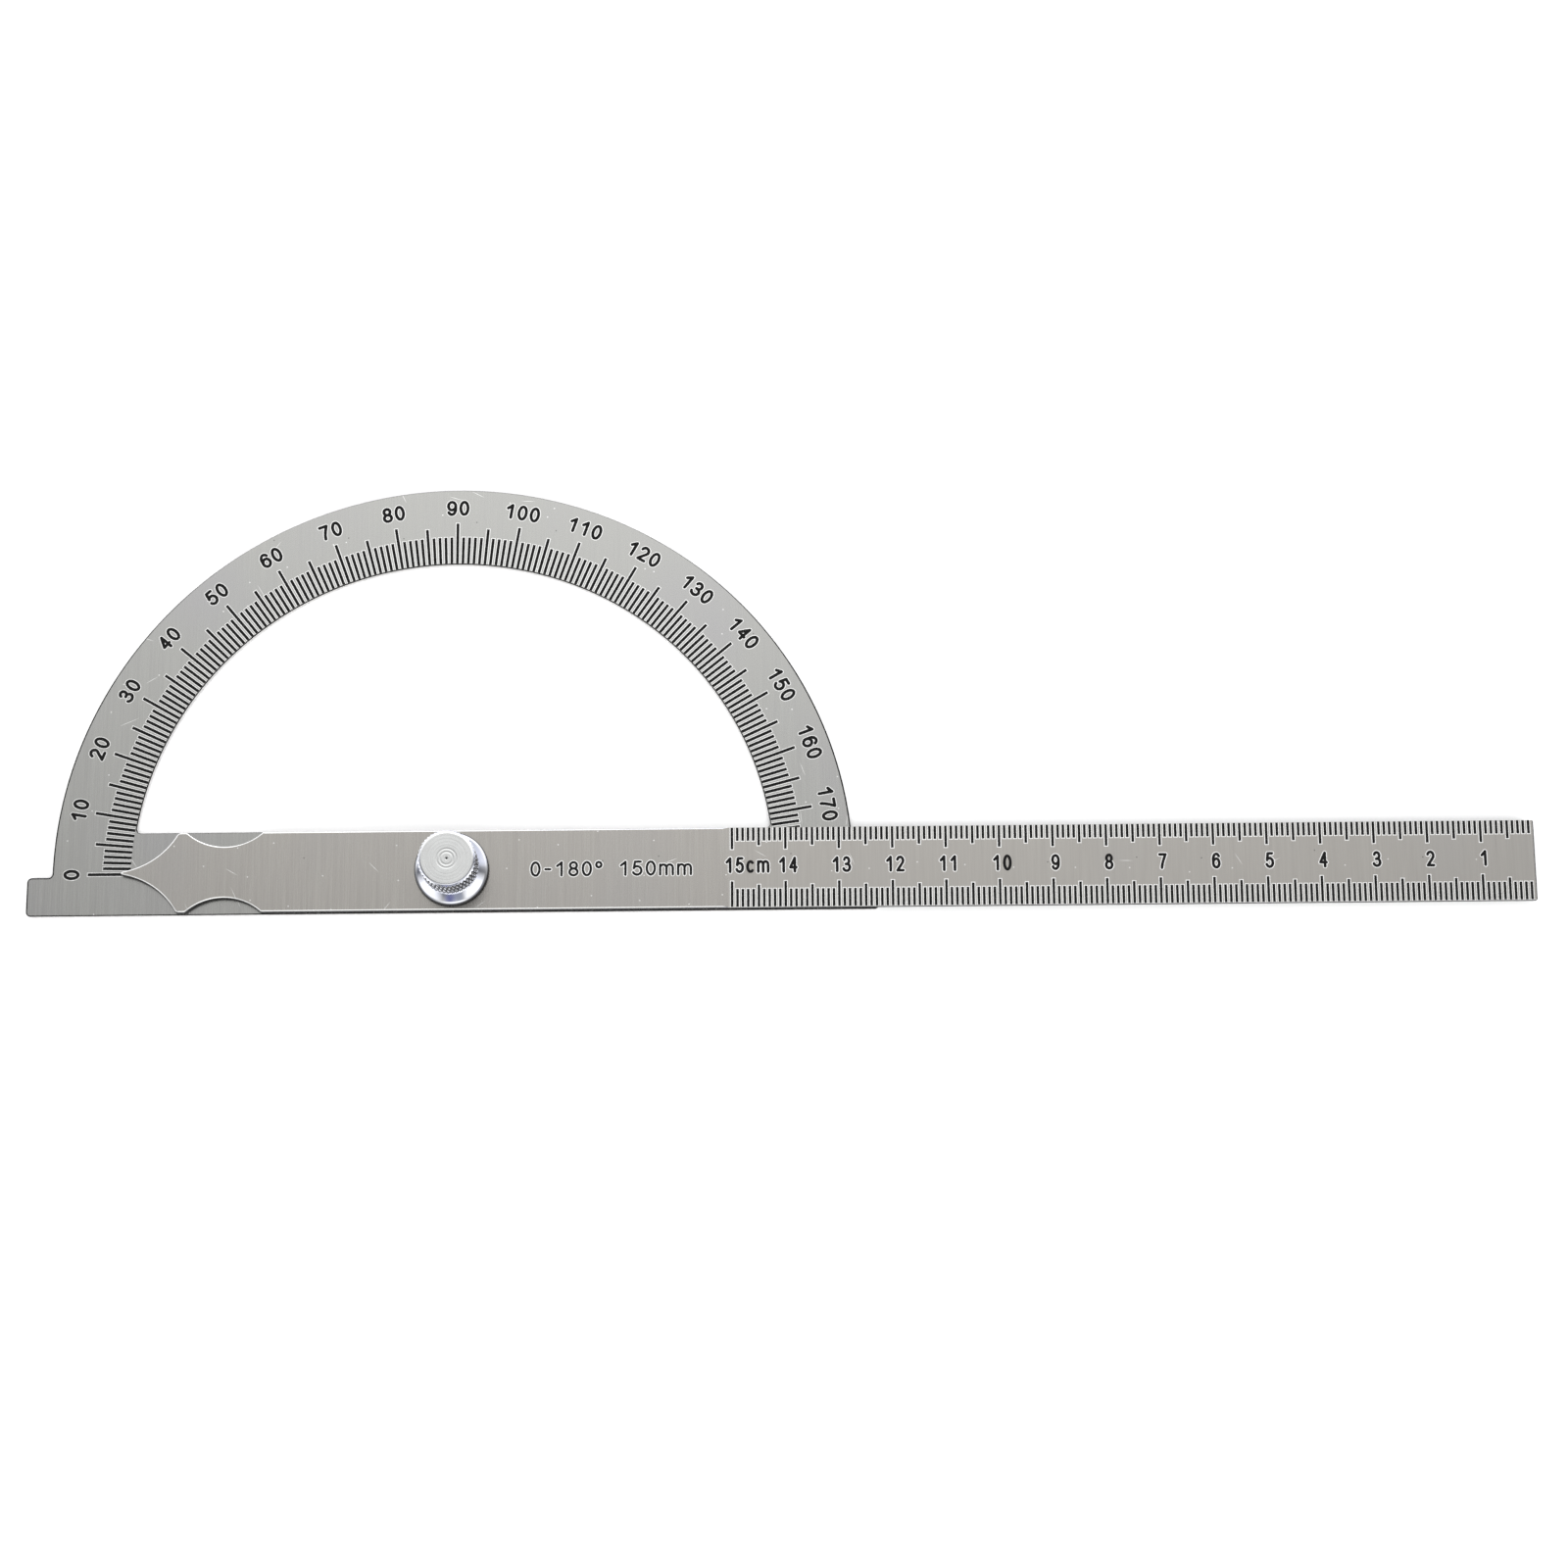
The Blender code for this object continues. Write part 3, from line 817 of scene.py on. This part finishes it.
def flange_rings(bm):
    """Rings down the neck, over the flange and under it to the spigot's end."""
    rim = FLANGE_R - RIM_ROUND
    profile = flange_profile()
    profile += bow(rim, FLANGE_RIM - RIM_ROUND, RIM_ROUND, RIM_ROUND, 90, 0, 5)[1:]
    profile += bow(rim, RIM_ROUND, RIM_ROUND, RIM_ROUND, 0, -90, 5)
    profile += [(SPIGOT_R, 0.0), (SPIGOT_R, -SPIGOT_DEPTH + SPIGOT_EASE),
                (SPIGOT_R - SPIGOT_EASE, -SPIGOT_DEPTH)]
    return [knob_ring(bm, radius, height) for radius, height in profile]


def bore_rings(bm):
    """Rings up the threaded bore, from its countersunk mouth to the drill's point."""
    bore_r = THREAD_R + RUNNING_CLEARANCE

    def bore(angle, height):
        thread = bore_r - THREAD_DEPTH * (1 - thread_height(angle, height + KNOB_FOOT))
        return max(thread, bore_r + BORE_ENTRY - (height + SPIGOT_DEPTH))

    length = BORE_DEPTH + SPIGOT_DEPTH
    rows = ceil(length / THREAD_PITCH * THREAD_ROWS)
    rings = [knob_ring(bm, bore, -SPIGOT_DEPTH + length * row / rows, BORE_COLUMNS)
             for row in range(rows + 1)]
    end = knob_ring(bm, bore_r - THREAD_DEPTH, BORE_DEPTH + THREAD_RUNOUT, BORE_COLUMNS)
    return rings + [end, knob_ring(bm, 0.0, BORE_DEPTH + DRILL_POINT, 1)]


def make_knob(satin, chrome):
    """Closed-top knob with a diamond knurl, a flange and a threaded bore."""
    bm = bmesh.new()
    top = [knob_ring(bm, 0.0, KNOB_HEIGHT - PIP_DEPTH, 1)]
    top += [knob_ring(bm, radius, height) for radius, height in turned_top()]
    knurl = knurl_rings(bm)
    body = flange_rings(bm) + bore_rings(bm)
    join_all(bm, top)
    polished = join_rings(bm, top[-1], knurl[0])
    polished += join_all(bm, knurl, faceted=True)
    polished += join_rings(bm, knurl[-1], body[0])
    polished += join_all(bm, body)
    for face in polished:
        face.material_index = POLISHED
    knob = finished("knob_knurled", bm, [satin, chrome], sharp_angle=24)
    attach(knob, "knob")
    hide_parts("lock_knob")


# ---- materials

class Graph:
    """A node tree with short calls for adding its nodes."""

    def __init__(self, tree, place):
        self.tree = tree
        self.place = self.node("TexCoord").outputs[place]

    def node(self, kind, links=(), **settings):
        """A shader node with its sockets plugged and its settings made."""
        made = self.tree.nodes.new("ShaderNode" + kind)
        for key, value in settings.items():
            setattr(made, key, value)
        for socket, value in dict(links).items():
            self.plug(made.inputs[socket], value)
        return made

    def plug(self, socket, value):
        """Links a socket to another one, or sets its own value."""
        if isinstance(value, bpy.types.NodeSocket):
            self.tree.links.new(value, socket)
        elif socket.type == "RGBA":
            socket.default_value = (*value, 1.0)
        else:
            socket.default_value = value

    def math(self, operation, *values):
        return self.node("Math", enumerate(values), operation=operation).outputs[0]

    def times(self, one, other):
        return self.math("MULTIPLY", one, other)

    def vector(self, operation, *values):
        return self.node("VectorMath", enumerate(values), operation=operation).outputs

    def ramp(self, value, low, high, to_low=0.0, to_high=1.0):
        places = {"From Min": low, "From Max": high, "To Min": to_low, "To Max": to_high}
        return self.node("MapRange", {"Value": value, **places}).outputs[0]

    def blend(self, factor, one, other):
        """One colour at factor 0, the other at factor 1."""
        return self.node("Mix", {0: factor, 6: one, 7: other}, data_type="RGBA").outputs[2]

    def axes(self):
        return self.node("SeparateXYZ", {"Vector": self.place}).outputs


class Surface(Graph):
    """A Principled material. Its patterns follow the piece, in metres."""

    def __init__(self, name, metallic):
        self.material = bpy.data.materials.new(name)
        self.material.use_nodes = True
        super().__init__(self.material.node_tree, "Object")
        self.shader = self.tree.nodes["Principled BSDF"]
        self.shader.inputs["Metallic"].default_value = metallic

    def feed(self, socket, value):
        self.plug(self.shader.inputs[socket], value)

    def noise(self, per_metre, detail=2.0, rough=0.5):
        """Noise from 0 to 1, with a number of waves a metre for each axis."""
        scaled = self.vector("MULTIPLY", self.place, per_metre)[0]
        return self.node("TexNoise", {
            "Vector": scaled, "Scale": 1.0, "Detail": detail, "Roughness": rough}).outputs["Fac"]

    def radius(self):
        """Distance from the pivot axis, in metres."""
        return self.vector("LENGTH", self.vector("MULTIPLY", self.place, (1.0, 1.0, 0.0))[0])[1]

    def finish(self, colour, roughness, relief, depth):
        """The material, with its colour, roughness and a relief of a depth in millimetres."""
        bump = self.node("Bump", {"Height": relief, "Distance": depth * MM})
        self.feed("Base Color", colour)
        self.feed("Roughness", roughness)
        self.feed("Normal", bump.outputs[0])
        return self.material

    def cells(self, size, shift):
        """Random numbers for each cell of a size in millimetres, and the place from its centre."""
        scaled = self.vector("MULTIPLY_ADD", self.place, (1 / (size * MM),) * 3, (shift, shift, 0.0))[0]
        flat = self.vector("MULTIPLY", scaled, (1.0, 1.0, 0.0))[0]
        cell = self.node("TexVoronoi", {"Vector": flat, "Scale": 1.0}, voronoi_dimensions="2D")
        away = self.vector("SUBTRACT", flat, cell.outputs["Position"])[0]
        chance = self.node("SeparateColor", {0: cell.outputs["Color"]}).outputs
        return chance, away

    def scratches(self, size, length, width, share, shift):
        """1 on short straight scratches, at most one to a cell. Lengths are in cells."""
        chance, away = self.cells(size, shift)
        angle = self.times(chance[0], 2 * pi)
        heading = self.node("CombineXYZ", {
            0: self.math("COSINE", angle), 1: self.math("SINE", angle)}).outputs[0]
        along = self.math("ABSOLUTE", self.vector("DOT_PRODUCT", away, heading)[1])
        side = self.vector("LENGTH", self.vector("CROSS_PRODUCT", away, heading)[0])[1]
        ends = self.ramp(along, length, 0.3 * length)
        line = self.times(self.ramp(side, width, 0.3 * width), ends)
        return self.times(line, self.math("LESS_THAN", chance[1], share))

    def specks(self, size, radius, share, shift):
        """1 on tiny round specks, at most one to a cell. The radius is in cells."""
        chance, away = self.cells(size, shift)
        spot = self.ramp(self.vector("LENGTH", away)[1], radius, 0.5 * radius)
        return self.times(spot, self.math("LESS_THAN", chance[1], share))


def worn(surface, colour):
    """A colour with scratches, specks and dark pits over it, and the bright ones' mask."""
    marks = surface.specks(6.5, 0.028, 0.55, 11.3)
    for scratch in [(9.0, 0.16, 0.009, 0.30, 0.0), (17.0, 0.13, 0.0045, 0.45, 31.7)]:
        marks = surface.math("MAXIMUM", marks, surface.scratches(*scratch))
    pits = surface.specks(11.0, 0.016, 0.35, 57.1)
    colour = surface.blend(surface.times(marks, 0.8), colour, (0.75, 0.75, 0.74))
    return surface.blend(surface.times(pits, 0.7), colour, (0.10, 0.10, 0.10)), marks


def brushed_steel(name, dark, light, tint, ruler=False):
    """Sheet steel brushed along Y: hairlines, streaks, cloudy tint, scratches and specks."""
    surface = Surface(name, 1.0)
    hair = surface.noise((4300.0, 70.0, 70.0), 3.0, 0.7)
    streak = surface.noise((900.0, 16.0, 16.0), 2.0, 0.6)
    cloud = surface.noise((46.0, 30.0, 30.0), 2.0, 0.5)
    grain = surface.math("ADD", surface.times(hair, 0.68), surface.times(streak, 0.32))
    colour = surface.blend(surface.ramp(grain, 0.34, 0.66), dark, light)
    colour = surface.blend(surface.ramp(cloud, 0.48, 0.72, 0.0, 0.55), colour, tint)
    roughness = surface.ramp(grain, 0.3, 0.7, 0.22, 0.3)
    if ruler:
        across = surface.axes()["X"]
        satin = surface.ramp(across, SATIN_START_X * MM, (SATIN_START_X + SATIN_BLEND) * MM)
        roughness = surface.math("ADD", roughness, surface.times(satin, 0.05))
        border = surface.math("SUBTRACT", satin, surface.times(satin, satin))
        colour = surface.blend(surface.times(border, 0.8), colour, (0.5, 0.5, 0.49))
    colour, marks = worn(surface, colour)
    return surface.finish(colour, roughness, surface.math("SUBTRACT", hair, marks), 0.004)


def cut_edge(name, dark, light, rough):
    """The blanked or bevelled edge of sheet steel, with drag lines through its thickness."""
    surface = Surface(name, 1.0)
    drag = surface.noise((2600.0, 2600.0, 120.0), 3.0, 0.6)
    colour = surface.blend(surface.ramp(drag, 0.3, 0.7), dark, light)
    roughness = surface.ramp(drag, 0.3, 0.7, rough, rough + 0.15)
    return surface.finish(colour, roughness, drag, 0.008)


def turned_steel(name, dark, light, rough, depth, centre_r=0.0):
    """Lathe-turned steel: fine rings round the pivot axis and a little staining.

    Within the radius centre_r, in millimetres, the centre mark is painted dark as shade in its hollow.
    """
    surface = Surface(name, 1.0)
    radius = surface.radius()
    rings = surface.node("TexNoise", {
        "W": surface.times(radius, 9000.0), "Scale": 1.0, "Detail": 2.0},
        noise_dimensions="1D").outputs["Fac"]
    stain = surface.noise((420.0,) * 3, 3.0, 0.6)
    mixed = surface.math("ADD", surface.times(rings, 0.7), surface.times(stain, 0.3))
    colour = surface.blend(surface.ramp(mixed, 0.35, 0.65), dark, light)
    if centre_r:
        # painted shade: near black inside the centre mark's hollow
        centre = surface.ramp(radius, centre_r * MM, 0.7 * centre_r * MM)
        colour = surface.blend(centre, colour, (0.02, 0.02, 0.02))
    roughness = surface.ramp(mixed, 0.35, 0.65, rough, rough + 0.1)
    return surface.finish(colour, roughness, rings, depth)


def chrome_residue(surface):
    """Where painted shade lies on the knob: 1 deep in the knurl's grooves and on the flange's rim."""
    height = surface.axes()["Z"]
    chamfer = surface.math("SUBTRACT", height, (KNOB_TOP - KNOB_TOP_CHAMFER) * MM)
    crest = surface.math("SUBTRACT", KNURL_R * MM, surface.math("MAXIMUM", 0.0, chamfer))
    below_crest = surface.math("SUBTRACT", crest, surface.radius())
    deep = surface.ramp(below_crest, 0.05 * MM, 0.12 * MM)
    knurl_low, knurl_high = KNOB_FOOT + KNURL_START, KNOB_TOP - TOP_BEVEL_DEPTH
    above = surface.ramp(height, (knurl_low - 0.25) * MM, (knurl_low - 0.1) * MM)
    below = surface.ramp(height, (knurl_high + 0.01) * MM, (knurl_high - 0.03) * MM)
    rim_top = KNOB_FOOT + FLANGE_RIM
    rim = surface.ramp(height, (rim_top + 0.025) * MM, (rim_top - 0.02) * MM)
    return surface.math("MAXIMUM", surface.times(deep, surface.times(above, below)),
                        surface.times(rim, 0.95))


def plated_chrome(name):
    """Bright plating, faintly violet in patches, with painted shade deep in the knurl and on the
    flange's rim.
    """
    surface = Surface(name, 1.0)
    cloud = surface.noise((330.0,) * 3, 3.0, 0.55)
    grit = surface.noise((5200.0,) * 3, 2.0, 0.6)
    painted_shade = chrome_residue(surface)
    colour = surface.blend(surface.ramp(cloud, 0.4, 0.65), (0.86, 0.87, 0.90), (0.76, 0.78, 0.86))
    # painted shade: near black deep in the knurl's grooves and on the flange's rim, which are also made
    # rougher there
    colour = surface.blend(painted_shade, colour, (0.015, 0.015, 0.018))
    roughness = surface.ramp(cloud, 0.3, 0.7, 0.06, 0.13)
    roughness = surface.math("ADD", roughness, surface.times(painted_shade, 0.3))
    return surface.finish(colour, roughness, grit, 0.0006)


def etching_ink():
    """Black baked ink, slightly uneven."""
    surface = Surface("black_etching_ink", 0.0)
    cloud = surface.noise((1500.0,) * 3, 3.0, 0.6)
    surface.feed("Specular IOR Level", 0.1)
    colour = surface.blend(cloud, (0.002, 0.002, 0.002), (0.008, 0.008, 0.008))
    return surface.finish(colour, surface.ramp(cloud, 0.3, 0.7, 0.55, 0.75), cloud, 0.002)


# ---- stage

def make_floor():
    """A wide, nearly white table top just under the plate."""
    surface = Surface("table_top", 0.0)
    grain = surface.noise((40.0,) * 3, 2.0, 0.5)
    surface.feed("Base Color", surface.blend(grain, (0.73, 0.73, 0.73), (0.75, 0.75, 0.75)))
    surface.feed("Roughness", 0.8)
    surface.feed("Specular IOR Level", 0.2)
    bm = bmesh.new()
    bmesh.ops.create_grid(bm, x_segments=1, y_segments=1, size=FLOOR_HALF * MM)
    table_top = finished("table_top", bm, [surface.material])
    table_top.location.z = (PLATE_LOW - FLOOR_GAP) * MM


def room_level(graph, x, y):
    """Brightness of the room, from ROOM_LEVELS along Y and dimmer to both sides."""
    back = graph.node("FloatCurve", {"Value": graph.ramp(y, -1.0, 1.0)})
    curve = back.mapping.curves[0]
    for place, level in ROOM_LEVELS[1:-1]:
        curve.points.new((place + 1) / 2, level / ROOM_BRIGHTEST)
    for end in (0, -1):
        curve.points[end].location.y = ROOM_LEVELS[end][1] / ROOM_BRIGHTEST
    back.mapping.update()
    sides = graph.ramp(graph.times(x, x), 0.0, 0.12, 1.0, 0.56)
    return graph.times(graph.times(back.outputs[0], sides), ROOM_BRIGHTEST)


def patch(graph, direction, angles):
    """1 towards a direction, fading to 0 between two angles from it, in degrees."""
    facing = graph.vector("DOT_PRODUCT", graph.place, direction)[1]
    return graph.ramp(facing, *[cos(radians(angle)) for angle in angles])


def make_world():
    """A white room, dark and cool low in front, that the camera itself sees as plain white."""
    world = bpy.data.worlds.new("soft_room")
    bpy.context.scene.world = world
    world.use_nodes = True
    graph = Graph(world.node_tree, "Generated")
    x, y, z = graph.axes()
    level = room_level(graph, x, y)
    low = graph.ramp(z, 0.08, 0.42, 1.0, 0.0)
    tint = graph.blend(graph.times(low, 0.75), (1.0, 1.0, 1.0), (0.42, 0.45, 0.56))
    front = graph.times(low, graph.ramp(y, -0.4, -0.8))
    tint = graph.blend(front, tint, (0.19, 0.195, 0.23))
    glow = 0.0
    for direction, strength in WINDOWS:
        window = graph.times(patch(graph, direction, WINDOW_ANGLES), strength)
        glow = graph.math("ADD", window, glow)
    colour = graph.vector("MULTIPLY_ADD", tint, level, glow)[0]
    for direction, angles, dark in DOORWAYS:
        colour = graph.blend(patch(graph, direction, angles), colour, dark)
    background = graph.tree.nodes["Background"]
    graph.plug(background.inputs["Color"], colour)
    seen = graph.node("LightPath").outputs["Is Camera Ray"]
    plain = graph.node("Background", {"Color": (1.0, 1.0, 1.0)})
    mixed = graph.node("MixShader", {0: seen, 1: background.outputs[0], 2: plain.outputs[0]})
    graph.plug(graph.tree.nodes["World Output"].inputs["Surface"], mixed.outputs[0])


def area_light(name, place, size, power, colour):
    """A soft square lamp turned to the pivot, which the metal doesn't mirror."""
    lamp = bpy.data.lights.new(name, "AREA")
    lamp.size = size
    lamp.energy = power
    lamp.color = colour
    holder = added(name, lamp)
    holder.location = place
    holder.rotation_mode = "QUATERNION"
    holder.rotation_quaternion = holder.location.to_track_quat("Z", "Y")
    holder.visible_camera = False
    holder.visible_glossy = False


def make_camera():
    """High view from the front, almost overhead."""
    camera = bpy.data.cameras.new("camera")
    camera.lens = CAMERA_LENS
    camera.clip_start = 0.05
    camera.clip_end = 20.0
    holder = added("camera", camera)
    holder.location = CAMERA_PLACE
    holder.rotation_euler = CAMERA_TURN
    bpy.context.scene.camera = holder


def main():
    make_camera()
    make_world()
    make_floor()
    for lamp in LAMPS:
        area_light(*lamp)
    bpy.context.scene.view_settings.view_transform = "Standard"

    ink = etching_ink()
    make_plate([
        brushed_steel("plate_brushed_steel", (0.348, 0.348, 0.337), (0.397, 0.397, 0.381),
                      (0.362, 0.357, 0.367)),
        cut_edge("plate_cut_edge", (0.60, 0.59, 0.58), (0.76, 0.75, 0.74), 0.3),
        # painted shade: the plate's top chamfers round the rim, the window and the stud hole are near
        # black
        cut_edge("plate_chamfer_painted_shade", (0.01, 0.01, 0.01), (0.03, 0.03, 0.03), 0.5),
        cut_edge("plate_burnished_lip", (0.73, 0.73, 0.72), (0.88, 0.88, 0.87), 0.22),
    ], ink)
    make_stud(turned_steel("stud_turned_steel", (0.36, 0.36, 0.36), (0.5, 0.5, 0.5), 0.28, 0.004))
    make_arm([
        brushed_steel("arm_brushed_steel", (0.372, 0.357, 0.336), (0.419, 0.404, 0.379),
                      (0.385, 0.375, 0.362), ruler=True),
        # painted shade: the arm's sides and the corner under its polished bevel are near black,
        # standing in for the dark line and contact shadow at its foot
        cut_edge("arm_side_painted_shade", (0.03, 0.03, 0.03), (0.09, 0.09, 0.09), 0.45),
        cut_edge("arm_polished_bevel", (0.82, 0.82, 0.81), (0.93, 0.93, 0.92), 0.16),
        cut_edge("arm_burnished_lip", (0.86, 0.86, 0.85), (0.97, 0.97, 0.96), 0.22),
    ], ink)
    make_washer(turned_steel("washer_steel", (0.3, 0.3, 0.31), (0.42, 0.42, 0.43), 0.33, 0.002))
    satin = turned_steel("knob_satin_top", (0.58, 0.585, 0.58), (0.68, 0.69, 0.685), 0.2, 0.002,
                         centre_r=PIP_R)
    make_knob(satin, plated_chrome("knob_chrome"))


main()
